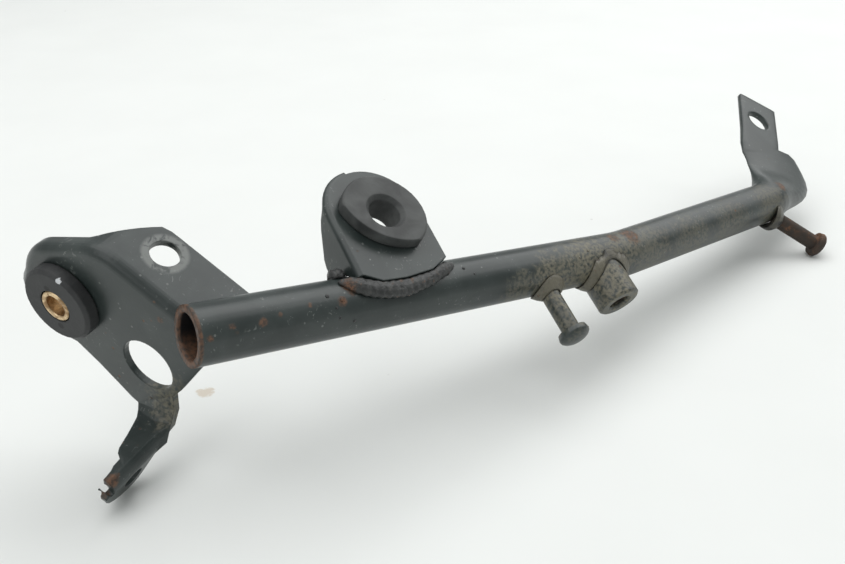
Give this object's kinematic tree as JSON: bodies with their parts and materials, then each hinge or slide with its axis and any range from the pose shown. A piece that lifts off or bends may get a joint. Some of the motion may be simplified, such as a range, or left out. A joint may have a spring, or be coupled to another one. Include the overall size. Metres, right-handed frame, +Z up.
{
  "type": "taillight bracket",
  "caption": "Black painted steel bracket of bent tube with a folded side plate, an ear, hook studs and rubber grommets that holds a tail light.",
  "frame": {"origin": "middle of the footprint, on the floor that the bracket rests on", "axes": "+X along the tube's second run from the open end to the flat end tab, +Z up, +Y away from the two hook studs; the foot tab and the rear hook stud's head rest on the floor"},
  "size_m": [0.3334, 0.0904, 0.0725],
  "materials": {
    "black_paint": "semi-gloss black paint, worn",
    "black_rubber": "matt black rubber",
    "brass_plating": "dull plated",
    "rusty_steel": "rusty",
    "painted_weld": "painted weld bead"
  },
  "bodies": {
    "root": {"main_tube": "black_paint", "side_plate": "black_paint", "side_grommet": "black_rubber", "grommet_sleeve": "brass_plating", "ear_bracket": "black_paint", "ear_grommet": "black_rubber", "front_hook_stud": "black_paint", "rear_hook_stud": "rusty_steel", "threaded_boss": "black_paint", "plate_weld": "painted_weld", "ear_weld": "painted_weld", "flange_weld": "painted_weld", "front_stud_weld": "painted_weld", "rear_stud_weld": "painted_weld", "boss_weld": "painted_weld"}
  },
  "joints": []
}
